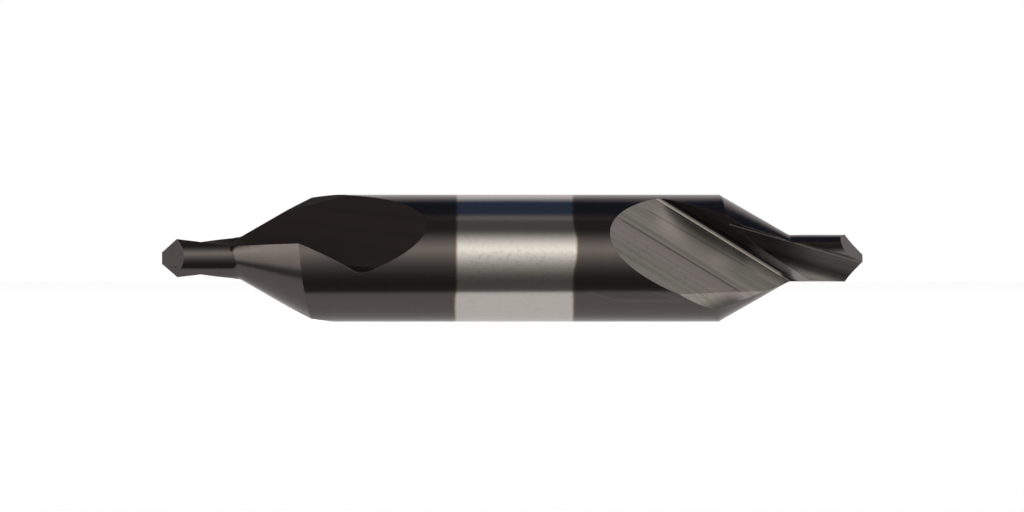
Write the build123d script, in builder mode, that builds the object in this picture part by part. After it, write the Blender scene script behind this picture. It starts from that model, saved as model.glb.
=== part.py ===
"""Double-ended centre drill: a 4 mm pilot and a 60 degree countersink on each end of a 10 mm body.

The drill is ground from one bar, so it is one solid. Its axis is the X axis, the origin is at the
middle of its length, +Z is up and -Y is the front. Millimetres and degrees.
Both ends are made on the right and turned into place, and each end is the same when it is turned
half round the axis. Angles around the axis run from the front (-Y) up towards +Z.
"""

import os
from math import cos, radians, sin, tan

from build123d import *

# Body
overall_length = 55.1
body_diameter = 10.0

# Pilot drill
pilot_diameter = 4.0
pilot_length = 5.53
pilot_relief = 0.21
point_half_angle = 48.0
chisel_angle = -36.0

# Countersink
cone_angle = 60.0
cone_relief = 0.43
relief_angle = 15.0
land_start_angle = -20.0
junction_radius = 0.6

# Main flutes: a V with a rounded root, ground straight and slanted through the countersink.
# Its walls meet on a line that crosses the axis at the reach back from the tip
right_flute_root_radius = 0.35
right_flute_reach = 8.27
right_flute_slant = 32.9
right_flute_turn = 18.5
right_flute_opening = 86.8
right_flute_roll = 15.6
left_flute_root_radius = 0.3
left_flute_reach = 4.22
left_flute_slant = 23.6
left_flute_turn = 20.6
left_flute_opening = 73.3
left_flute_roll = 26.3

# Heel facets: a flat that takes the corner off behind each main flute. Its plane crosses the axis at
# the reach back from the tip, or beyond the tip where the reach is negative
heel_margin = 2.0
right_heel_reach = 6.42
right_heel_slope = 25.7
right_heel_tilt = 4.4
left_heel_reach = -1.28
left_heel_slope = 17.8
left_heel_tilt = -16.0

# Pilot flutes: a straight groove beside the pilot, with a rake face over a curved floor
right_pilot_flute_length = 10.5
right_pilot_drop = 16.2
right_rake_tilt = 6.0
left_pilot_flute_length = 4.5
left_pilot_drop = 11.6
left_rake_tilt = 8.5
pilot_flute_sink = 12.7
run_out_angle = 35.0
rake_height = 0.16
rake_length = 0.6
floor_depth = 1.53
floor_setback = 0.2
floor_reach = 3.4
floor_return = 0.1
rake_corner_radius = 0.3
floor_radius = 2.6

# The left end's turn against the right one
left_end_turn = 54.0

# Sizes that follow from those above
tip_x = overall_length / 2
body_radius = body_diameter / 2
pilot_radius = pilot_diameter / 2
point_slope = tan(radians(point_half_angle))
cone_slope = tan(radians(cone_angle / 2))
junction_x = tip_x - pilot_length
lip_x = tip_x + pilot_radius * sin(radians(chisel_angle)) / point_slope
clear = body_diameter


def around(angle, radius):
    """Return the point at a radius and an angle around the axis."""
    return Vector(0, -radius * cos(radians(angle)), radius * sin(radians(angle)))


# One land of an end before it is fluted: the pilot and the countersink are round about centres set
# off towards the cutting edge, so both surfaces fall away behind it
pilot_centre = around(relief_angle, pilot_relief)
cone_centre = around(relief_angle, cone_relief)
cone_mid_radius = pilot_radius - cone_relief
cone_end_radius = body_radius + 2 * cone_relief
cone_small_radius = cone_mid_radius / 2
cone_base_x = junction_x - (cone_end_radius - cone_mid_radius) / cone_slope
cone_top_x = junction_x + (cone_mid_radius - cone_small_radius) / cone_slope

with BuildPart() as land:
    with BuildSketch(Plane.YZ):
        with Locations((pilot_centre.Y, pilot_centre.Z)):
            Circle(pilot_radius - pilot_relief)
    extrude(amount=tip_x)
    with BuildSketch(Plane.YZ.offset(cone_base_x)) as cone_base:
        with Locations((cone_centre.Y, cone_centre.Z)):
            Circle(cone_end_radius)
    with BuildSketch(Plane.YZ.offset(cone_top_x)) as cone_top:
        with Locations((cone_centre.Y, cone_centre.Z)):
            Circle(cone_small_radius)
    loft(sections=[cone_base.sketch, cone_top.sketch])
    junction = land.edges().filter_by_position(Axis.X, junction_x - pilot_radius, junction_x + pilot_relief)
    fillet(junction, junction_radius)
    extrude(cone_base.sketch, amount=-cone_base_x)
    split(bisect_by=Plane((0, 0, 0), z_dir=around(land_start_angle + 90, 1)), keep=Keep.TOP)

# Both ends of the blank, with the drill point as a wedge over the chisel edge
with BuildPart() as blank:
    add(land.part)
    add(land.part.rotate(Axis.X, 180))
    with BuildSketch(Plane.YZ):
        Circle(body_radius)
    extrude(amount=tip_x, mode=Mode.INTERSECT)
    with BuildSketch(Plane((tip_x, 0, 0), x_dir=(-1, 0, 0), z_dir=around(chisel_angle, 1))):
        Polygon(
            (0, 0),
            (clear / point_slope, clear),
            (tip_x, clear),
            (tip_x, -clear),
            (clear / point_slope, -clear),
            align=None,
        )
    extrude(amount=clear, both=True, mode=Mode.INTERSECT)


def main_flute(root_radius, reach, slant, turn, opening, roll):
    """Return the V groove of one main flute, with its root along the slanted direction."""
    direction = Vector(1, 0, 0).rotate(Axis.Y, slant).rotate(Axis.X, turn)
    mouth = Vector(0, -1, 0).rotate(Axis((0, 0, 0), direction), roll)
    half_width = clear * tan(radians(opening / 2))
    with BuildPart() as groove:
        with BuildSketch(Plane((tip_x - reach, 0, 0), x_dir=mouth, z_dir=direction)):
            with BuildLine():
                FilletPolyline((clear, -half_width), (0, 0), (clear, half_width), radius=root_radius)
                Line((clear, half_width), (clear, -half_width))
            make_face()
        extrude(amount=2 * clear, both=True)
    return groove.part


def heel_facet(reach, slope, tilt, slant, turn):
    """Return the block above the heel facet, which keeps clear of the main flute's root."""
    direction = Vector(1, 0, 0).rotate(Axis.Y, slant).rotate(Axis.X, turn)
    outward = Vector(0, -1, 0).rotate(Axis.X, -tilt).rotate(Axis.Z, slope)
    with BuildPart() as block:
        with BuildSketch(Plane((tip_x - reach, 0, 0), x_dir=direction, z_dir=outward)):
            with Locations((0, -heel_margin)):
                Rectangle(4 * clear, clear, align=(Align.CENTER, Align.MAX))
        extrude(amount=clear)
    return block.part


def pilot_flute(length, drop, tilt):
    """Return the groove of one pilot flute: straight for its length, then rising out of the metal."""
    direction = Vector(1, tan(radians(pilot_flute_sink)), -tan(radians(drop)))
    run_out = Vector(-1, -tan(radians(run_out_angle)), tan(radians(drop)))
    rake_rise = tan(radians(tilt))
    rake_outer = (-clear / 2, rake_height + (clear / 2 - pilot_radius) * rake_rise)
    rake_inner = (-rake_length, rake_height - (pilot_radius - rake_length) * rake_rise)
    floor_outer = (floor_setback - floor_return, -floor_reach)
    with BuildPart() as groove:
        with BuildSketch(Plane.YZ.offset(lip_x)) as section:
            with BuildLine():
                FilletPolyline(
                    rake_outer,
                    rake_inner,
                    (floor_setback, -floor_depth),
                    floor_outer,
                    radius=[rake_corner_radius, floor_radius],
                )
                Polyline(floor_outer, (-clear / 2, -floor_reach), rake_outer)
            make_face()
        extrude(amount=length * direction.length, dir=direction.normalized(), both=True)
        end_section = section.sketch.moved(Location(direction * -length))
        extrude(end_section, amount=clear, dir=run_out.normalized())
    return groove.part


def grind(grooves):
    """Return one end of the drill, with each groove cut on both of its sides."""
    with BuildPart() as end:
        add(blank.part)
        for groove in grooves:
            add(groove, mode=Mode.SUBTRACT)
            add(groove.rotate(Axis.X, 180), mode=Mode.SUBTRACT)
    return end.part


right_end = grind([
    main_flute(
        right_flute_root_radius,
        right_flute_reach,
        right_flute_slant,
        right_flute_turn,
        right_flute_opening,
        right_flute_roll,
    ),
    heel_facet(
        right_heel_reach,
        right_heel_slope,
        right_heel_tilt,
        right_flute_slant,
        right_flute_turn,
    ),
    pilot_flute(right_pilot_flute_length, right_pilot_drop, right_rake_tilt),
])
left_end = grind([
    main_flute(
        left_flute_root_radius,
        left_flute_reach,
        left_flute_slant,
        left_flute_turn,
        left_flute_opening,
        left_flute_roll,
    ),
    heel_facet(
        left_heel_reach,
        left_heel_slope,
        left_heel_tilt,
        left_flute_slant,
        left_flute_turn,
    ),
    pilot_flute(left_pilot_flute_length, left_pilot_drop, left_rake_tilt),
])

with BuildPart() as centre_drill:
    add(right_end)
    add(left_end.rotate(Axis.Z, 180).rotate(Axis.X, -left_end_turn))

centre_drill.part.label = "centre_drill"
os.makedirs("parts", exist_ok=True)
export_step(centre_drill.part, "parts/centre_drill.step")
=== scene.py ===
"""Looks of a double-ended centre drill: ground tool steel with a black coat and a bare band round its middle.

The drill is one piece, so every finish is a zone of one surface. The zones are told apart by where a point
lies on the drill and which way its surface faces, in the drill's own frame: +X along the axis, -Y to the
front. Lengths are in millimetres and angles in degrees, until they reach Blender.
"""

from __future__ import annotations

import logging
import math
from dataclasses import dataclass, field
from enum import Enum
from typing import Any

import bpy
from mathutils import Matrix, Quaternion, Vector


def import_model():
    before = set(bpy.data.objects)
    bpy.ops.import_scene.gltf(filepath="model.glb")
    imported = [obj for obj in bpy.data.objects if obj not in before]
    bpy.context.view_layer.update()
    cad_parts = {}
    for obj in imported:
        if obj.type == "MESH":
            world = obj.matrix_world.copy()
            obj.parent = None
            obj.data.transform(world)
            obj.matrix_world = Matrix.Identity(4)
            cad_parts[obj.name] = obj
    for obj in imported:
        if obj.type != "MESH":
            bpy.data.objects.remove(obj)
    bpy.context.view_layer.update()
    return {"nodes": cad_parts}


MM = 0.001
# How far the tip and the pilot's lip are from the drill's middle
TIP = 27.55
LIP = 26.49
DRILL_NODE = "centre_drill"

Tree = bpy.types.NodeTree
Node = bpy.types.Node
Socket = bpy.types.NodeSocket
Span = tuple[float, float]

log = logging.getLogger("centre_drill")


class RayKind(Enum):
    """Outputs of the Light Path node that see the white surroundings."""

    CAMERA = "Is Camera Ray"
    GLOSSY = "Is Glossy Ray"
    TRANSMISSION = "Is Transmission Ray"


class Hand(Enum):
    """The end of the drill that a set of flutes belongs to."""

    RIGHT = 1
    LEFT = -1


class Curve(Enum):
    """Ways for a ramp to go from nothing to everything."""

    STRAIGHT = "LINEAR"
    SMOOTH = "SMOOTHSTEP"


class Measure(Enum):
    """What places a point on the drill's surface, says how it faces, or places a direction in the studio."""

    X = "from the drill's middle to the right"
    Y = "from the axis to the rear"
    Z = "from the axis up"
    ON_RIGHT = "1 on the right end and 0 on the left one"
    OUTWARD = "from the drill's middle to either end"
    ALONG = "from the drill's middle, in the direction of the main flute's root"
    RISE = "from the drill's middle, in the direction that the main flute opens in"
    ACROSS = "from the drill's middle across the main flute, towards its broad wall"
    OFF_ROOT = "from the root across the main flute, towards its broad wall"
    SLANTED = "along the root and off it, added up"
    PILOT = "along the pilot flute"
    INWARD = "inward, level along the pilot flute"
    BEHIND = "behind the lip, level along the pilot flute"
    UPWARD = "up, level along the pilot flute"
    LIKE_BROAD = "cosine of the angle from the way the broad wall faces"
    LIKE_HEEL = "cosine of the angle from the way the heel facet faces"
    LIKE_CUTTING = "cosine of the angle from the way the cutting wall faces"
    LIKE_MOUTH = "cosine of the angle from the way the main flute opens"
    SLOPE = "how much the surface faces along the pilot flute"
    STEEPNESS = "how much the surface faces along the pilot flute or back along it"
    ANGLE = "round the drill's axis, from the front over the top (90) to the back"
    ELEVATION = "over the horizon"
    SIDEWAYS = "to the left (-1) or to the right (1)"
    ASIDE = "to either side, 0 to 1"


MAIN_FLUTE = (Measure.ALONG, Measure.RISE, Measure.ACROSS)
PILOT_FLUTE = (Measure.PILOT, Measure.BEHIND, Measure.UPWARD)


def linear(hex_colour: str) -> tuple[float, float, float, float]:
    """Turn an sRGB hex colour into linear RGBA.

    Args:
        hex_colour: Six hex digits after a hash sign.

    Returns:
        Red, green, blue and an alpha of 1, linear.
    """
    channels = [int(hex_colour[i : i + 2], 16) / 255 for i in (1, 3, 5)]
    red, green, blue = (c / 12.92 if c <= 0.04045 else ((c + 0.055) / 1.055) ** 2.4 for c in channels)
    return red, green, blue, 1.0


def add_node(tree: Tree, kind: str, inputs: dict[int | str, Any] | None = None, **settings: Any) -> Node:
    """Add one node with its settings, input values and links.

    Args:
        tree: The node tree that gets the node.
        kind: Blender's name for the kind of node.
        inputs: A value, a socket or a node, whose first output is meant, for each named or numbered input.
        **settings: Properties of the node itself.

    Returns:
        The new node.
    """
    node = tree.nodes.new(kind)
    for name, value in settings.items():
        setattr(node, name, value)
    for name, value in (inputs or {}).items():
        source = value.outputs[0] if isinstance(value, Node) else value
        if isinstance(source, Socket):
            tree.links.new(source, node.inputs[name])
        else:
            node.inputs[name].default_value = source
    return node


@dataclass(frozen=True)
class Flutes:
    """Directions of one end's ground faces, from the angles they are ground at."""

    hand: Hand
    reach: float
    slant: float
    turn: float
    opening: float
    roll: float
    heel_slope: float
    heel_tilt: float
    pilot_sink: float
    pilot_drop: float
    end_turn: float = 0.0

    def placed(self, direction: Vector) -> Vector:
        """Turn a direction of the right end into this end's place.

        Args:
            direction: A direction as on the right end.

        Returns:
            The direction on this end, as long as before.
        """
        placed = direction.copy()
        if self.hand is Hand.LEFT:
            placed = Quaternion((0, 0, 1), math.pi) @ placed
        return Quaternion((1, 0, 0), -math.radians(self.end_turn)) @ placed

    def root(self) -> Vector:
        """Direction of the main flute's root, along which its walls are ground."""
        slanted = Quaternion((0, 1, 0), math.radians(self.slant)) @ Vector((1, 0, 0))
        return Quaternion((1, 0, 0), math.radians(self.turn)) @ slanted

    def mouth(self) -> Vector:
        """Direction in which the main flute opens."""
        along = self.root()
        rolled = Quaternion(along, math.radians(self.roll)) @ Vector((0, -1, 0))
        return (rolled - rolled.dot(along) * along).normalized()

    def across(self) -> Vector:
        """Direction across the main flute, from its cutting wall to its broad wall."""
        return self.root().cross(self.mouth())

    def wall(self, side: int) -> Vector:
        """Normal of one wall of the main flute.

        Args:
            side: 1 for the wall that carries the cutting edge, -1 for the broad wall.

        Returns:
            The unit normal, out of the metal.
        """
        half = math.radians(self.opening / 2)
        return self.mouth() * math.sin(half) + self.across() * (side * math.cos(half))

    def root_offset(self) -> float:
        """Place of the root across the main flute, from the drill's middle."""
        return (TIP - self.reach) * self.across().x

    def heel(self) -> Vector:
        """Normal of the facet behind the main flute."""
        tilted = Quaternion((1, 0, 0), -math.radians(self.heel_tilt)) @ Vector((0, -1, 0))
        return Quaternion((0, 0, 1), math.radians(self.heel_slope)) @ tilted

    def pilot(self) -> Vector:
        """Direction of the pilot flute, along which its faces are ground."""
        sink, drop = math.radians(self.pilot_sink), math.radians(self.pilot_drop)
        return Vector((1, math.tan(sink), -math.tan(drop)))

    def pilot_inward(self) -> Vector:
        """Inward direction that stays level along the pilot flute, for how far behind the lip a point is."""
        return Vector((-math.tan(math.radians(self.pilot_sink)), 1, 0))

    def pilot_upward(self) -> Vector:
        """Upward direction that stays level along the pilot flute, for how far below the lip a point is."""
        return Vector((math.tan(math.radians(self.pilot_drop)), 0, 1))

    def directions(self) -> dict[str, Vector]:
        """All of these directions by name, in this end's place."""
        named = {
            "root": self.root(),
            "mouth": self.mouth(),
            "across": self.across(),
            "broad": self.wall(-1),
            "cutting": self.wall(1),
            "heel": self.heel(),
            "pilot": self.pilot(),
            "pilot_inward": self.pilot_inward(),
            "pilot_upward": self.pilot_upward(),
        }
        return {name: self.placed(direction) for name, direction in named.items()}


RIGHT_FLUTES = Flutes(
    hand=Hand.RIGHT,
    reach=8.27,
    slant=32.9,
    turn=18.5,
    opening=86.8,
    roll=15.6,
    heel_slope=25.7,
    heel_tilt=4.4,
    pilot_sink=12.7,
    pilot_drop=16.2,
)
LEFT_FLUTES = Flutes(
    hand=Hand.LEFT,
    reach=4.22,
    slant=23.6,
    turn=20.6,
    opening=73.3,
    roll=26.3,
    heel_slope=17.8,
    heel_tilt=-16.0,
    pilot_sink=12.7,
    pilot_drop=11.6,
    end_turn=54.0,
)


@dataclass(frozen=True)
class Place:
    """Where a surface point or a direction in the studio is, by measures that are outputs of nodes."""

    tree: Tree
    measures: dict[Measure, Node | Socket]

    @classmethod
    def on_drill(cls, tree: Tree) -> Place:
        """Measure where a point of the drill's surface is and how it faces.

        Args:
            tree: The material's nodes.

        Returns:
            The place.
        """
        source = add_node(tree, "ShaderNodeTexCoord")
        # Object coordinates are metres; everything after this is worked in millimetres
        point = add_node(
            tree, "ShaderNodeVectorMath", {0: source.outputs["Object"], "Scale": 1 / MM}, operation="SCALE"
        )
        split = add_node(tree, "ShaderNodeSeparateXYZ", {0: point})
        on_right = add_node(tree, "ShaderNodeMath", {0: split, 1: 0.0}, operation="GREATER_THAN")
        left, right = LEFT_FLUTES.directions(), RIGHT_FLUTES.directions()
        directions = {
            name: add_node(
                tree, "ShaderNodeMix", {0: on_right, 4: left[name], 5: right[name]}, data_type="VECTOR"
            ).outputs[1]
            for name in right
        }
        # Each end is the same after half a turn round the axis, so the far side is turned onto the near one
        flat = add_node(
            tree, "ShaderNodeVectorMath", {0: directions["mouth"], 1: (0.0, 1.0, 1.0)}, operation="MULTIPLY"
        )
        depth = add_node(tree, "ShaderNodeVectorMath", {0: point, 1: flat}, operation="DOT_PRODUCT")
        side = add_node(tree, "ShaderNodeMath", {0: depth.outputs["Value"]}, operation="SIGN")
        turn = add_node(tree, "ShaderNodeCombineXYZ", {0: 1.0, 1: side, 2: side})
        near, facing = (
            add_node(tree, "ShaderNodeVectorMath", {0: vector, 1: turn}, operation="MULTIPLY")
            for vector in (point, source.outputs["Normal"])
        )
        measures = {
            measure: add_node(
                tree, "ShaderNodeVectorMath", {0: vector, 1: directions[name]}, operation="DOT_PRODUCT"
            ).outputs["Value"]
            for measure, vector, name in (
                (Measure.ALONG, near, "root"),
                (Measure.RISE, near, "mouth"),
                (Measure.ACROSS, near, "across"),
                (Measure.PILOT, near, "pilot"),
                (Measure.INWARD, near, "pilot_inward"),
                (Measure.UPWARD, near, "pilot_upward"),
                (Measure.LIKE_BROAD, facing, "broad"),
                (Measure.LIKE_HEEL, facing, "heel"),
                (Measure.LIKE_CUTTING, facing, "cutting"),
                (Measure.LIKE_MOUTH, facing, "mouth"),
                (Measure.SLOPE, facing, "pilot"),
            )
        }
        measures |= {Measure[axis]: split.outputs[axis] for axis in ("X", "Y", "Z")}
        measures[Measure.ON_RIGHT] = on_right
        root_offset = add_node(
            tree,
            "ShaderNodeMix",
            {0: on_right, 2: LEFT_FLUTES.root_offset(), 3: RIGHT_FLUTES.root_offset()},
        )
        lip_shift = LIP * math.tan(math.radians(RIGHT_FLUTES.pilot_sink))
        for measure, operation, first, second in (
            (Measure.OUTWARD, "ABSOLUTE", Measure.X, 0.0),
            (Measure.STEEPNESS, "ABSOLUTE", Measure.SLOPE, 0.0),
            (Measure.OFF_ROOT, "SUBTRACT", Measure.ACROSS, root_offset),
            (Measure.BEHIND, "ADD", Measure.INWARD, lip_shift),
        ):
            measures[measure] = add_node(
                tree, "ShaderNodeMath", {0: measures[first], 1: second}, operation=operation
            )
        measures[Measure.SLANTED] = add_node(
            tree,
            "ShaderNodeMath",
            {0: measures[Measure.ALONG], 1: measures[Measure.OFF_ROOT]},
            operation="ADD",
        )
        return cls(tree, measures)

    @classmethod
    def in_studio(cls, tree: Tree) -> Place:
        """Measure a direction from the drill.

        Args:
            tree: The world's nodes.

        Returns:
            The place.
        """
        direction = add_node(tree, "ShaderNodeTexCoord").outputs["Generated"]
        split = add_node(tree, "ShaderNodeSeparateXYZ", {0: direction})
        rise = add_node(tree, "ShaderNodeMath", {0: split.outputs["Z"]}, operation="ARCSINE")
        front = add_node(tree, "ShaderNodeMath", {0: split.outputs["Y"], 1: -1.0}, operation="MULTIPLY")
        around = add_node(tree, "ShaderNodeMath", {0: split.outputs["Z"], 1: front}, operation="ARCTAN2")
        measures = {
            Measure.ELEVATION: add_node(tree, "ShaderNodeMath", {0: rise}, operation="DEGREES"),
            Measure.ANGLE: add_node(tree, "ShaderNodeMath", {0: around}, operation="DEGREES"),
            Measure.SIDEWAYS: split.outputs["X"],
            Measure.ASIDE: add_node(tree, "ShaderNodeMath", {0: split}, operation="ABSOLUTE"),
        }
        return cls(tree, measures)


@dataclass(frozen=True)
class Ramp:
    """A slope from nothing to everything by one measure, upwards or downwards."""

    measure: Measure
    nothing: float
    everything: float
    curve: Curve = Curve.STRAIGHT


@dataclass(frozen=True)
class Patch:
    """A patch that fades out over each of its ramps."""

    ramps: tuple[Ramp, ...]
    depth: float = 1.0

    def draw(self, place: Place) -> Node:
        """Draw the patch.

        Args:
            place: Where the point or direction is.

        Returns:
            The patch's mask, from 0 to its depth.
        """
        mask: Any = self.depth
        for ramp in self.ramps:
            slope = add_node(
                place.tree,
                "ShaderNodeMapRange",
                {0: place.measures[ramp.measure], 1: ramp.nothing, 2: ramp.everything},
                interpolation_type=ramp.curve.value,
            )
            mask = add_node(place.tree, "ShaderNodeMath", {0: mask, 1: slope}, operation="MULTIPLY")
        return mask


@dataclass(frozen=True)
class Grain:
    """A pattern of soft ups and downs, by its real size along three measures."""

    size: tuple[float, float, float]
    detail: float
    sharpness: float = 0.5
    axes: tuple[Measure, Measure, Measure] = (Measure.X, Measure.Y, Measure.Z)

    def draw(self, place: Place) -> Node:
        """Draw the pattern.

        Args:
            place: Where the surface point is.

        Returns:
            The pattern's height, 0 to 1.
        """
        point = add_node(
            place.tree, "ShaderNodeCombineXYZ", {i: place.measures[axis] for i, axis in enumerate(self.axes)}
        )
        scaled = add_node(
            place.tree,
            "ShaderNodeVectorMath",
            {0: point, 1: [1 / length for length in self.size]},
            operation="MULTIPLY",
        )
        return add_node(
            place.tree,
            "ShaderNodeTexNoise",
            {"Vector": scaled, "Scale": 1.0, "Detail": self.detail, "Roughness": self.sharpness},
        )


@dataclass(frozen=True)
class BlackCoat:
    """Black oxide on cylindrically ground high-speed steel.

    A thin, hard, half-glossy black skin: it reflects little head-on and more at a glancing angle, so the
    drill looks black with bright rims, which the oxide's own tint keeps a little below white. The turns that
    the grinding wheel leaves round the axis stay under it. Real ones are some hundredths of a millimetre
    apart, and these are drawn as coarse as they need to show.
    """

    colour: str = "#4c4746"
    wear_colour: str = "#514c4a"
    edge_tint: str = "#eeeeee"
    metallic: float = 0.97
    roughness: float = 0.17
    turns: Grain = Grain(size=(0.24, 6.667, 6.667), detail=2.0)

    def finish(self, place: Place) -> tuple[Socket, Node]:
        """Draw the turns under the coat, which is a little paler on their crests.

        Args:
            place: Where the surface point is.

        Returns:
            The coat's colour and the height of the turns, 0 to 1.
        """
        turns = self.turns.draw(place)
        colour = add_node(
            place.tree,
            "ShaderNodeMix",
            {0: turns, 6: linear(self.colour), 7: linear(self.wear_colour)},
            data_type="RGBA",
        )
        return colour.outputs[2], turns


@dataclass(frozen=True)
class BareSteel:
    """Cylindrically ground high-speed steel with no coat.

    A silver that mirrors its surroundings softly, with small dull specks where the wheel has torn it. The
    specks gather at half height, where the wheel last left the bar. The coat's rim leaves a thin straw to
    brown line on each side of the band and creeps in and out a little. The right rim bulges out at the front,
    and the left one steps out low down.
    """

    colour: str = "#aca8a4"
    roughness: float = 0.15
    speck_colour: str = "#9d9994"
    speck_roughness: float = 0.24
    specks: Grain = Grain(size=(0.35, 0.35, 0.35), detail=3.0, sharpness=0.6)
    speck_tones: Span = (0.5, 0.75)
    speck_top: Span = (1.2, 0.0)
    speck_foot: Span = (-2.6, -1.8)
    speck_rest: float = 0.3
    rim_colour: str = "#5d5142"
    rim_width: float = 0.2
    rim_strength: float = 0.8
    edge_softness: float = 0.04
    edge_wander: Grain = Grain(size=(0.7143, 0.7143, 0.7143), detail=3.0)
    wander_depth: float = 0.07
    left_edge: float = -4.42
    left_step: Patch = Patch((Ramp(Measure.Z, -2.2, -3.2),), depth=0.12)
    right_edge: float = 4.84
    right_bulge: Patch = Patch(
        (Ramp(Measure.Z, -1.8, 0.6, Curve.SMOOTH), Ramp(Measure.Z, 3.2, 1.2, Curve.SMOOTH)), depth=0.3
    )

    def zone(self, place: Place) -> tuple[Node, Node]:
        """Find the bare band and the brown rim on each of its sides.

        Args:
            place: Where the surface point is.

        Returns:
            The mask of the band and the mask of its rims.
        """
        tree = place.tree
        wander = self.edge_wander.draw(place)
        shift = add_node(
            tree, "ShaderNodeMapRange", {0: wander, 3: -self.wander_depth, 4: self.wander_depth}
        )
        along = add_node(tree, "ShaderNodeMath", {0: place.measures[Measure.X], 1: shift}, operation="ADD")
        bulge = self.right_bulge.draw(place)
        right = add_node(tree, "ShaderNodeMath", {0: self.right_edge, 1: bulge}, operation="ADD")
        step = self.left_step.draw(place)
        left = add_node(tree, "ShaderNodeMath", {0: self.left_edge, 1: step}, operation="SUBTRACT")
        past_right = add_node(tree, "ShaderNodeMath", {0: along, 1: right}, operation="SUBTRACT")
        past_left = add_node(tree, "ShaderNodeMath", {0: left, 1: along}, operation="SUBTRACT")
        beyond = add_node(tree, "ShaderNodeMath", {0: past_right, 1: past_left}, operation="MAXIMUM")
        band = add_node(
            tree, "ShaderNodeMapRange", {0: beyond, 1: self.edge_softness, 2: -self.edge_softness}
        )
        beside = add_node(tree, "ShaderNodeMath", {0: beyond}, operation="ABSOLUTE")
        rim = add_node(
            tree, "ShaderNodeMapRange", {0: beside, 1: self.rim_width, 2: 0.0, 3: 0.0, 4: self.rim_strength}
        )
        return band, rim

    def finish(self, place: Place) -> tuple[Socket, Node]:
        """Draw the dull specks of the bare steel.

        Args:
            place: Where the surface point is.

        Returns:
            The colour and the roughness of the bare steel.
        """
        tree = place.tree
        wear_and_sheen = add_node(
            tree,
            "ShaderNodeMapRange",
            {0: self.specks.draw(place), 1: self.speck_tones[0], 2: self.speck_tones[1]},
        )
        for far, near in (self.speck_top, self.speck_foot):
            gathered = add_node(
                tree,
                "ShaderNodeMapRange",
                {0: place.measures[Measure.Z], 1: far, 2: near, 3: self.speck_rest, 4: 1.0},
                interpolation_type=Curve.SMOOTH.value,
            )
            wear_and_sheen = add_node(tree, "ShaderNodeMath", {0: wear_and_sheen, 1: gathered}, operation="MULTIPLY")
        colour = add_node(
            tree,
            "ShaderNodeMix",
            {0: wear_and_sheen, 6: linear(self.colour), 7: linear(self.speck_colour)},
            data_type="RGBA",
        )
        roughness = add_node(tree, "ShaderNodeMix", {0: wear_and_sheen, 2: self.roughness, 3: self.speck_roughness})
        return colour.outputs[2], roughness


@dataclass(frozen=True)
class WheelMark:
    """A stray dark line that the wheel left on a broad flute wall.

    Its ends are given along the flute's root and by how far off the root they lie.
    """

    along: Span
    off: Span
    width: float
    depth: float
    fade_in: float = 1.0
    fade_out: float = 0.6

    def draw(self, place: Place) -> Node:
        """Draw the line.

        Args:
            place: Where the surface point is.

        Returns:
            How dark the line is, 0 to 1.
        """
        tree = place.tree
        start, end = self.along
        line = add_node(
            tree,
            "ShaderNodeMapRange",
            {0: place.measures[Measure.ALONG], 1: start, 2: end, 3: self.off[0], 4: self.off[1]},
        )
        away = add_node(
            tree, "ShaderNodeMath", {0: place.measures[Measure.OFF_ROOT], 1: line}, operation="SUBTRACT"
        )
        distance = add_node(tree, "ShaderNodeMath", {0: away}, operation="ABSOLUTE")
        thickness = add_node(tree, "ShaderNodeMapRange", {0: distance, 1: self.width, 2: 0.0})
        ends = (
            Ramp(Measure.ALONG, start, start + self.fade_in),
            Ramp(Measure.ALONG, end, end - self.fade_out),
        )
        length = Patch(ends, self.depth).draw(place)
        return add_node(tree, "ShaderNodeMath", {0: thickness, 1: length}, operation="MULTIPLY")


@dataclass(frozen=True)
class TornMarks:
    """Short torn marks along the outer part of the broad wall, four times as long as they are wide."""

    grain: Grain = Grain(size=(0.36, 0.09, 0.09), detail=1.0, axes=MAIN_FLUTE)
    tones: Span = (0.6, 0.72)
    outer: Patch = Patch((Ramp(Measure.OFF_ROOT, 2.3, 3.2),), depth=0.3)

    def draw(self, place: Place) -> Node:
        """Draw the torn marks.

        Args:
            place: Where the surface point is.

        Returns:
            How dark the torn marks are, 0 to 1.
        """
        torn = add_node(
            place.tree,
            "ShaderNodeMapRange",
            {0: self.grain.draw(place), 1: self.tones[0], 2: self.tones[1]},
        )
        outer = self.outer.draw(place)
        return add_node(place.tree, "ShaderNodeMath", {0: torn, 1: outer}, operation="MULTIPLY")


@dataclass(frozen=True)
class CuttingWall:
    """The wall that carries the cutting edge, coloured blacker than the broad one.

    On the right end it runs out into the pilot flute, and towards that it gets as satin as the pilot flute
    is.
    It also gets as bright there, which is a painted reflection.
    """

    colour: str = "#2c2929"
    # Painted reflection: the colour that the wall brightens to towards the pilot flute
    reflection_end_colour: str = "#7d7875"
    wall: Patch = Patch((Ramp(Measure.LIKE_CUTTING, 0.99, 0.998),))
    end: Patch = Patch((Ramp(Measure.ON_RIGHT, 0.0, 1.0), Ramp(Measure.ALONG, 14.0, 18.6, Curve.SMOOTH)))

    def draw(self, place: Place) -> tuple[Node, Node, Socket]:
        """Find the wall and colour it.

        Args:
            place: Where the surface point is.

        Returns:
            The mask of the wall, the mask of its satin end and its colour.
        """
        wall, end = self.wall.draw(place), self.end.draw(place)
        satin = add_node(place.tree, "ShaderNodeMath", {0: wall, 1: end}, operation="MULTIPLY")
        colour = add_node(
            place.tree,
            "ShaderNodeMix",
            {0: end, 6: linear(self.colour), 7: linear(self.reflection_end_colour)},
            data_type="RGBA",
        )
        return wall, satin, colour.outputs[2]


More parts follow.
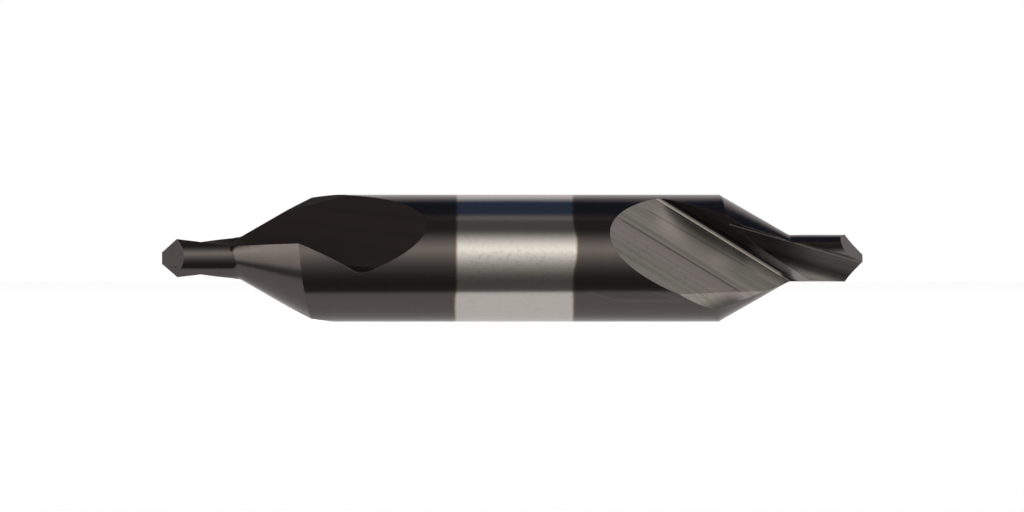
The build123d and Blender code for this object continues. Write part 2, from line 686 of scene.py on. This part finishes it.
@dataclass(frozen=True)
class PilotFloor:
    """The curved floor of the pilot flute, with fine lines along it.

    It is satin towards the tip. Further in it keeps the black of the coat, and a painted shade band darkens
    the middle of the floor. The floor is level along the pilot flute.
    """

    colour: str = "#5f5a58"
    lines: Grain = Grain(size=(17.5, 0.225, 0.225), detail=2.0, axes=PILOT_FLUTE)
    line_tones: Span = (0.35, 0.65)
    floor: Patch = Patch(
        (
            Ramp(Measure.STEEPNESS, 0.05, 0.02),
            Ramp(Measure.BEHIND, -0.85, -0.7),
            Ramp(Measure.BEHIND, 0.45, 0.3),
        )
    )
    satin_end: Patch = Patch((Ramp(Measure.OUTWARD, 20.0, 25.0, Curve.SMOOTH),))
    # Painted shade: a dark band along the middle of the floor
    painted_shade_band: Patch = Patch(
        (Ramp(Measure.UPWARD, 5.4, 6.0, Curve.SMOOTH), Ramp(Measure.UPWARD, 6.75, 6.25, Curve.SMOOTH)),
        depth=0.72,
    )

    def draw(
        self, place: Place, coat_colour: str, crest_colour: str, band_shade_colour: str
    ) -> tuple[Node, Node, Socket]:
        """Find the floor and draw its lines and its painted shade band.

        Args:
            place: Where the surface point is.
            coat_colour: The colour of the whole coat.
            crest_colour: The colour of the crests of the grinding lines.
            band_shade_colour: The colour that the painted shade band goes towards.

        Returns:
            The mask of the floor, the mask of its satin part and its colour.
        """
        tree = place.tree
        floor, near_tip = self.floor.draw(place), self.satin_end.draw(place)
        satin = add_node(tree, "ShaderNodeMath", {0: floor, 1: near_tip}, operation="MULTIPLY")
        # The left end's main flute has a wall as level as this, so there the floor only counts near the tip
        reached = add_node(
            tree, "ShaderNodeMath", {0: near_tip, 1: place.measures[Measure.ON_RIGHT]}, operation="MAXIMUM"
        )
        mask = add_node(tree, "ShaderNodeMath", {0: floor, 1: reached}, operation="MULTIPLY")
        tone = add_node(
            tree,
            "ShaderNodeMapRange",
            {0: self.lines.draw(place), 1: self.line_tones[0], 2: self.line_tones[1]},
        )
        ground = add_node(
            tree,
            "ShaderNodeMix",
            {0: tone, 6: linear(self.colour), 7: linear(crest_colour)},
            data_type="RGBA",
        )
        coated = add_node(
            tree,
            "ShaderNodeMix",
            {0: near_tip, 6: linear(coat_colour), 7: ground.outputs[2]},
            data_type="RGBA",
        )
        colour = add_node(
            tree,
            "ShaderNodeMix",
            {0: self.painted_shade_band.draw(place), 6: coated.outputs[2], 7: linear(band_shade_colour)},
            data_type="RGBA",
        )
        return mask, satin, colour.outputs[2]


@dataclass(frozen=True)
class GroundFlute:
    """Flute faces ground by a plain wheel and then coated.

    The wheel leaves straight lines along the flute, and the coat over them is thinner and more metallic than
    on the body, so these faces look satin and a little lighter, with faint warm and cool bands. On the right
    end a painted highlight makes the rounded root bright, a painted reflection lightens a strip of the broad
    wall beside it, and painted shade darkens the broad wall next to the root and an edge of the heel facet.
    On the left end the coat is whole and hides the lines. Real lines are some hundredths of a millimetre
    wide, and these are drawn as coarse as they need to show.
    """

    metallic: float = 0.75
    roughness: float = 0.34
    colour: str = "#6c6864"
    streak_colour: str = "#595652"
    lines: Grain = Grain(size=(23.333, 0.3, 0.3), detail=4.0, sharpness=0.7, axes=MAIN_FLUTE)
    line_tones: Span = (0.35, 0.65)
    band_colour: str = "#665f60"
    bands: Grain = Grain(size=(85.556, 1.1, 1.1), detail=1.0, axes=MAIN_FLUTE)
    band_tones: Span = (0.4, 0.6)
    band_depth: float = 0.7
    whole_colour: str = "#36302e"
    whole_band_colour: str = "#3b3431"
    whole_heel_colour: str = "#241f1e"
    broad_wall: Patch = Patch((Ramp(Measure.LIKE_BROAD, 0.996, 0.999),))
    heel_facet: Patch = Patch((Ramp(Measure.LIKE_HEEL, 0.996, 0.999),))
    root_highlight_colour: str = "#8e8983"
    # Painted highlight along the rounded root of the right end
    root: Patch = Patch(
        (
            Ramp(Measure.LIKE_MOUTH, 0.7, 0.76),
            Ramp(Measure.OFF_ROOT, -0.09, -0.03),
            Ramp(Measure.OFF_ROOT, 0.21, 0.15),
            Ramp(Measure.RISE, 0.5, 0.4),
            Ramp(Measure.ALONG, 18.7, 18.3),
            Ramp(Measure.ON_RIGHT, 0.0, 1.0),
        )
    )
    # Painted reflection: a lighter strip of the broad wall beside the root, down to a lip towards the pilot
    painted_reflection_colour: str = "#857f79"
    painted_reflection_strip: Patch = Patch(
        (
            Ramp(Measure.OFF_ROOT, 2.25, 1.1, Curve.SMOOTH),
            Ramp(Measure.ALONG, 6.6, 9.0, Curve.SMOOTH),
            Ramp(Measure.ALONG, 15.4, 12.8, Curve.SMOOTH),
        ),
        depth=0.9,
    )
    painted_reflection_lip: Patch = Patch(
        (
            Ramp(Measure.OFF_ROOT, 1.0, 0.4),
            Ramp(Measure.ALONG, 15.0, 16.2, Curve.SMOOTH),
            Ramp(Measure.ALONG, 19.2, 18.8, Curve.SMOOTH),
        ),
        depth=0.9,
    )
    # Colour of the real wheel and torn marks, which the painted shade beside the root, on the heel facet and
    # on the pilot floor goes towards too
    mark_and_shade_colour: str = "#161413"
    wheel_marks: tuple[WheelMark, ...] = (
        WheelMark(along=(4.4, 16.4), off=(2.42, 2.38), width=0.09, depth=0.7),
        WheelMark(along=(6.0, 16.8), off=(1.07, 0.8), width=0.07, depth=0.45),
        WheelMark(along=(7.6, 13.4), off=(3.05, 3.0), width=0.05, depth=0.2),
        WheelMark(along=(5.2, 9.8), off=(3.5, 3.42), width=0.05, depth=0.2),
    )
    torn_marks: TornMarks = TornMarks()
    # Painted shade: the broad wall darker right beside the root
    painted_root_shade: Patch = Patch(
        (
            Ramp(Measure.OFF_ROOT, 0.16, 0.36),
            Ramp(Measure.OFF_ROOT, 0.95, 0.41, Curve.SMOOTH),
            Ramp(Measure.ALONG, 7.0, 10.25, Curve.SMOOTH),
            Ramp(Measure.ALONG, 15.5, 11.75, Curve.SMOOTH),
        ),
        depth=0.5,
    )
    # Painted shade on the heel facet, along its edge to the countersink
    painted_heel_shade: Patch = Patch(
        (Ramp(Measure.SLANTED, 17.55, 19.25, Curve.SMOOTH), Ramp(Measure.OFF_ROOT, 2.5, 3.1)), depth=0.75
    )
    cutting_wall: CuttingWall = CuttingWall()
    pilot_floor: PilotFloor = PilotFloor()

    def finish(self, place: Place, coat_colour: str) -> tuple[Node, Node, Socket, Node]:
        """Find the ground flute faces and draw what the wheel left on them.

        Args:
            place: Where the surface point is.
            coat_colour: The colour of the whole coat.

        Returns:
            The mask of the flute faces, the mask of those of them that are satin, their colour and the height
            of the grinding lines, 0 to 1.
        """
        tree = place.tree
        broad, heel = self.broad_wall.draw(place), self.heel_facet.draw(place)
        root = self.root.draw(place)
        lines = self.lines.draw(place)
        bands = add_node(
            tree,
            "ShaderNodeMapRange",
            {
                0: self.bands.draw(place),
                1: self.band_tones[0],
                2: self.band_tones[1],
                3: 0.0,
                4: self.band_depth,
            },
        )
        cutting, cutting_satin, cutting_colour = self.cutting_wall.draw(place)
        pilot, pilot_satin, pilot_colour = self.pilot_floor.draw(
            place, coat_colour, self.colour, self.mark_and_shade_colour
        )
        colour = linear(self.whole_colour)
        for mask, over in (
            (bands, linear(self.whole_band_colour)),
            (heel, linear(self.whole_heel_colour)),
            (place.measures[Measure.ON_RIGHT], self._thin_coat(place, lines, bands)),
            (cutting, cutting_colour),
            (root, linear(self.root_highlight_colour)),
            (pilot, pilot_colour),
        ):
            mix = add_node(tree, "ShaderNodeMix", {0: mask, 6: colour, 7: over}, data_type="RGBA")
            colour = mix.outputs[2]
        satin = broad
        for mask in (heel, pilot_satin, root, cutting_satin):
            satin = add_node(tree, "ShaderNodeMath", {0: satin, 1: mask}, operation="MAXIMUM")
        ground = satin
        for mask in (cutting, pilot):
            ground = add_node(tree, "ShaderNodeMath", {0: ground, 1: mask}, operation="MAXIMUM")
        return ground, satin, colour, lines

    def _thin_coat(self, place: Place, lines: Node, bands: Node) -> Socket:
        """Colour the thin coat of the right end's broad wall and heel facet.

        Args:
            place: Where the surface point is.
            lines: The height of the grinding lines.
            bands: How much the bands tone the coat.

        Returns:
            The colour.
        """
        tree = place.tree
        crests = add_node(
            tree, "ShaderNodeMapRange", {0: lines, 1: self.line_tones[0], 2: self.line_tones[1]}
        )
        # Painted reflection: the lighter strip and lip of the broad wall beside the root
        wear_and_sheen = add_node(
            tree,
            "ShaderNodeMath",
            {0: self.painted_reflection_strip.draw(place), 1: self.painted_reflection_lip.draw(place)},
            operation="MAXIMUM",
        )
        # Painted shade beside the root and on the heel facet, together with the real wheel and torn marks
        dark = self.painted_root_shade.draw(place)
        for mark in (*self.wheel_marks, self.torn_marks, self.painted_heel_shade):
            dark = add_node(tree, "ShaderNodeMath", {0: dark, 1: mark.draw(place)}, operation="MAXIMUM")
        colour = linear(self.streak_colour)
        for mask, over in (
            (crests, self.colour),
            (bands, self.band_colour),
            (wear_and_sheen, self.painted_reflection_colour),
            (dark, self.mark_and_shade_colour),
        ):
            mix = add_node(tree, "ShaderNodeMix", {0: mask, 6: colour, 7: linear(over)}, data_type="RGBA")
            colour = mix.outputs[2]
        return colour


@dataclass(frozen=True)
class DrillSteel:
    """The drill's one material, with its zones: black coat, bare band and ground flutes."""

    coat: BlackCoat = BlackCoat()
    bare: BareSteel = BareSteel()
    flute: GroundFlute = GroundFlute()
    edge_radius: float = 0.05
    edge_samples: int = 4
    grinding_depth: float = 0.01
    grinding_strength: float = 0.15

    def build(self) -> bpy.types.Material:
        """Build the material.

        Returns:
            The material, named for the real one.
        """
        material = bpy.data.materials.new("ground_tool_steel_black_oxide")
        material.use_nodes = True
        tree = material.node_tree
        tree.nodes.clear()
        place = Place.on_drill(tree)
        flute_mask, satin, flute_colour, lines = self.flute.finish(place, self.coat.colour)
        band_mask, rim_mask = self.bare.zone(place)
        bare_colour, bare_roughness = self.bare.finish(place)
        colour, turns = self.coat.finish(place)
        for mask, over in (
            (flute_mask, flute_colour),
            (band_mask, bare_colour),
            (rim_mask, linear(self.bare.rim_colour)),
        ):
            mix = add_node(tree, "ShaderNodeMix", {0: mask, 6: colour, 7: over}, data_type="RGBA")
            colour = mix.outputs[2]
        coated_roughness = add_node(
            tree, "ShaderNodeMix", {0: satin, 2: self.coat.roughness, 3: self.flute.roughness}
        )
        roughness = add_node(tree, "ShaderNodeMix", {0: band_mask, 2: coated_roughness, 3: bare_roughness})
        coated_metallic = add_node(
            tree, "ShaderNodeMix", {0: satin, 2: self.coat.metallic, 3: self.flute.metallic}
        )
        metallic = add_node(tree, "ShaderNodeMix", {0: band_mask, 2: coated_metallic, 3: 1.0})
        height = add_node(tree, "ShaderNodeMix", {0: satin, 2: turns, 3: lines})
        edge = add_node(
            tree, "ShaderNodeBevel", {"Radius": self.edge_radius * MM}, samples=self.edge_samples
        )
        bump = add_node(
            tree,
            "ShaderNodeBump",
            {
                "Strength": self.grinding_strength,
                "Distance": self.grinding_depth * MM,
                "Height": height,
                "Normal": edge,
            },
        )
        surface = add_node(
            tree,
            "ShaderNodeBsdfPrincipled",
            {
                "Base Color": colour,
                "Metallic": metallic,
                "Roughness": roughness,
                "Specular Tint": linear(self.coat.edge_tint),
                "Normal": bump,
            },
        )
        add_node(tree, "ShaderNodeOutputMaterial", {"Surface": surface})
        return material


@dataclass
class Drill:
    """The centre drill itself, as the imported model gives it."""

    steel: DrillSteel = field(default_factory=DrillSteel)

    def dress(self, nodes: dict[str, bpy.types.Object]) -> bpy.types.Object:
        """Give the drill its material.

        Args:
            nodes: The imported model's objects by name.

        Returns:
            The drill.
        """
        drill = nodes[DRILL_NODE]
        material = self.steel.build()
        for slot in drill.material_slots:
            slot.material = material
        return drill


@dataclass(frozen=True)
class MattCard:
    """Matt white card.

    It scatters nearly all of its light, and glows a little where it is seen, so that it photographs white.
    """

    colour: str = "#ebebeb"
    roughness: float = 0.9
    glow_colour: str = "#ffffff"
    glow: float = 0.35

    def build(self) -> bpy.types.Material:
        """Build the material.

        Returns:
            The material, named for the real one.
        """
        material = bpy.data.materials.new("matt_white_card")
        material.use_nodes = True
        tree = material.node_tree
        tree.nodes.clear()
        path = add_node(tree, "ShaderNodeLightPath")
        seen = path.outputs[RayKind.CAMERA.value]
        for kind in (RayKind.GLOSSY, RayKind.TRANSMISSION):
            seen = add_node(
                tree, "ShaderNodeMath", {0: seen, 1: path.outputs[kind.value]}, operation="MAXIMUM"
            )
        lift = add_node(tree, "ShaderNodeMath", {0: seen, 1: self.glow}, operation="MULTIPLY")
        card = add_node(
            tree,
            "ShaderNodeBsdfPrincipled",
            {
                "Base Color": linear(self.colour),
                "Roughness": self.roughness,
                "Emission Color": linear(self.glow_colour),
                "Emission Strength": lift,
            },
        )
        add_node(tree, "ShaderNodeOutputMaterial", {"Surface": card})
        return material


@dataclass(frozen=True)
class WhiteTable:
    """The plain table that the drill lies on."""

    height: float = -5.0
    size: float = 4000.0
    card: MattCard = MattCard()

    def build(self) -> None:
        """Lay the table under the drill."""
        half, height = self.size / 2 * MM, self.height * MM
        mesh = bpy.data.meshes.new("table")
        corners = [(-half, -half, height), (half, -half, height), (half, half, height), (-half, half, height)]
        mesh.from_pydata(corners, [], [(0, 1, 2, 3)])
        mesh.materials.append(self.card.build())
        table = bpy.data.objects.new("table", mesh)
        bpy.context.scene.collection.objects.link(table)
        # Reflections take the table from the surroundings, where it ends under the lens as a real one does
        table.visible_glossy = False


@dataclass(frozen=True)
class Backdrop:
    """A plain surface round the drill: its colour, and the directions that it fills."""

    colour: str
    extent: Patch


@dataclass(frozen=True)
class Surroundings:
    """What the metal mirrors, by direction from the drill.

    A softbox stands in front. It glows in its middle, and falls off slowly towards the table and fast towards
    the ceiling. A paler card stands at each side. Dark blue cloth hangs overhead, with a paler seam along its
    front edge and a pale wall behind it, and the white table ends under the lens. A black screen stands high
    up on the left and keeps that end's flute dark.
    """

    softbox_colour: str = "#fffdf6"
    softbox_strength: float = 1.95
    softbox_dim: float = 0.12
    softbox_falloff: float = 2.2
    softbox_lower: Patch = Patch((Ramp(Measure.ELEVATION, -46.0, 12.0),))
    softbox_upper: Patch = Patch((Ramp(Measure.ELEVATION, 53.0, 12.0, Curve.SMOOTH),))
    side_cards: Patch = Patch(
        (
            Ramp(Measure.ASIDE, 0.5, 0.85, Curve.SMOOTH),
            Ramp(Measure.ELEVATION, 56.0, 42.0),
            Ramp(Measure.ELEVATION, -23.0, -18.0),
        ),
        depth=1.05,
    )
    seam: Backdrop = Backdrop(
        "#898283", Patch((Ramp(Measure.ANGLE, 71.0, 77.0), Ramp(Measure.ANGLE, 88.0, 80.0)))
    )
    cloth: Backdrop = Backdrop("#35405b", Patch((Ramp(Measure.ANGLE, 84.0, 90.0),)))
    rear: Backdrop = Backdrop("#f4eff0", Patch((Ramp(Measure.ANGLE, 124.0, 144.0),)))
    table: Backdrop = Backdrop("#fffdfb", Patch((Ramp(Measure.ANGLE, -64.2, -68.2),)))
    screen: Backdrop = Backdrop(
        "#433c3b", Patch((Ramp(Measure.SIDEWAYS, -0.07, -0.13), Ramp(Measure.ELEVATION, 17.0, 27.0)))
    )
    room_colour: str = "#ffffff"
    room_strength: float = 0.75

    def build(self) -> None:
        """Paint the surroundings, which the camera itself sees as white."""
        world = bpy.data.worlds.new("studio")
        bpy.context.scene.world = world
        world.use_nodes = True
        tree = world.node_tree
        tree.nodes.clear()
        place = Place.in_studio(tree)
        colour = self._lights(place)
        for backdrop in (self.seam, self.cloth, self.rear, self.table, self.screen):
            extent = backdrop.extent.draw(place)
            mix = add_node(
                tree, "ShaderNodeMix", {0: extent, 6: colour, 7: linear(backdrop.colour)}, data_type="RGBA"
            )
            colour = mix.outputs[2]
        path = add_node(tree, "ShaderNodeLightPath")
        reflected = add_node(
            tree,
            "ShaderNodeMath",
            {0: path.outputs[RayKind.GLOSSY.value], 1: path.outputs[RayKind.TRANSMISSION.value]},
            operation="MAXIMUM",
        )
        mirror = add_node(tree, "ShaderNodeBackground", {"Color": colour, "Strength": 1.0})
        room_colour = linear(self.room_colour)
        room = add_node(
            tree, "ShaderNodeBackground", {"Color": room_colour, "Strength": self.room_strength}
        )
        white = add_node(tree, "ShaderNodeBackground", {"Color": room_colour, "Strength": 1.0})
        lighting = add_node(tree, "ShaderNodeMixShader", {0: reflected, 1: room, 2: mirror})
        shown = add_node(
            tree, "ShaderNodeMixShader", {0: path.outputs[RayKind.CAMERA.value], 1: lighting, 2: white}
        )
        add_node(tree, "ShaderNodeOutputWorld", {"Surface": shown})

    def _lights(self, place: Place) -> Socket:
        """Light the softbox and the side cards.

        Args:
            place: The direction from the drill.

        Returns:
            The light's colour.
        """
        tree = place.tree
        lower = add_node(
            tree,
            "ShaderNodeMath",
            {0: self.softbox_lower.draw(place), 1: self.softbox_falloff},
            operation="POWER",
        )
        glow = add_node(
            tree, "ShaderNodeMath", {0: lower, 1: self.softbox_upper.draw(place)}, operation="MULTIPLY"
        )
        softbox = add_node(
            tree, "ShaderNodeMapRange", {0: glow, 3: self.softbox_dim, 4: self.softbox_strength}
        )
        light = add_node(
            tree, "ShaderNodeMath", {0: softbox, 1: self.side_cards.draw(place)}, operation="ADD"
        )
        return add_node(
            tree,
            "ShaderNodeVectorMath",
            {0: linear(self.softbox_colour)[:3], "Scale": light},
            operation="SCALE",
        ).outputs[0]


@dataclass(frozen=True)
class OverheadLamp:
    """A large soft lamp over the table, for the shadow under the drill."""

    width: float = 500.0
    depth: float = 300.0
    watts: float = 2.2
    place: tuple[float, float, float] = (50.0, -150.0, 500.0)

    def build(self) -> None:
        """Hang the lamp, aimed at the drill."""
        data = bpy.data.lights.new("overhead_softbox", "AREA")
        data.shape = "RECTANGLE"
        data.size = self.width * MM
        data.size_y = self.depth * MM
        data.energy = self.watts
        lamp = bpy.data.objects.new("overhead_softbox", data)
        lamp.location = Vector(self.place) * MM
        lamp.rotation_mode = "QUATERNION"
        lamp.rotation_quaternion = lamp.location.to_track_quat("Z", "Y")
        lamp.visible_glossy = False
        bpy.context.scene.collection.objects.link(lamp)


@dataclass
class Studio:
    """The studio that the drill is photographed in."""

    table: WhiteTable = field(default_factory=WhiteTable)
    surroundings: Surroundings = field(default_factory=Surroundings)
    lamp: OverheadLamp = field(default_factory=OverheadLamp)

    def build(self) -> None:
        """Build the table, the surroundings and the lamp."""
        self.table.build()
        self.surroundings.build()
        self.lamp.build()


@dataclass(frozen=True)
class LongLens:
    """The camera, level with the drill and far off, so that near and far parts show at one scale."""

    frame_width: float = 80.54
    aim: tuple[float, float, float] = (-0.02, 0.0, 0.17)
    focal_length: float = 600.0
    nearest: float = 10.0
    farthest: float = 20000.0

    def build(self) -> None:
        """Build the camera and make it the scene's own."""
        data = bpy.data.cameras.new("long_lens")
        data.lens = self.focal_length
        data.clip_start = self.nearest * MM
        data.clip_end = self.farthest * MM
        distance = self.frame_width * self.focal_length / data.sensor_width
        camera = bpy.data.objects.new("long_lens", data)
        camera.location = Vector((self.aim[0], self.aim[1] - distance, self.aim[2])) * MM
        camera.rotation_mode = "QUATERNION"
        camera.rotation_quaternion = Vector((0, 1, 0)).to_track_quat("-Z", "Y")
        bpy.context.scene.collection.objects.link(camera)
        bpy.context.scene.camera = camera


def main() -> None:
    """Build the scene."""
    logging.basicConfig(level=logging.INFO, format="%(name)s: %(message)s")
    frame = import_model()
    bpy.context.scene.view_settings.view_transform = "Standard"
    LongLens().build()
    log.info("camera set")
    Studio().build()
    log.info("studio set")
    drill = Drill().dress(frame["nodes"])
    log.info("dressed %s: %d faces", drill.name, len(drill.data.polygons))


if __name__ == "__main__":
    main()
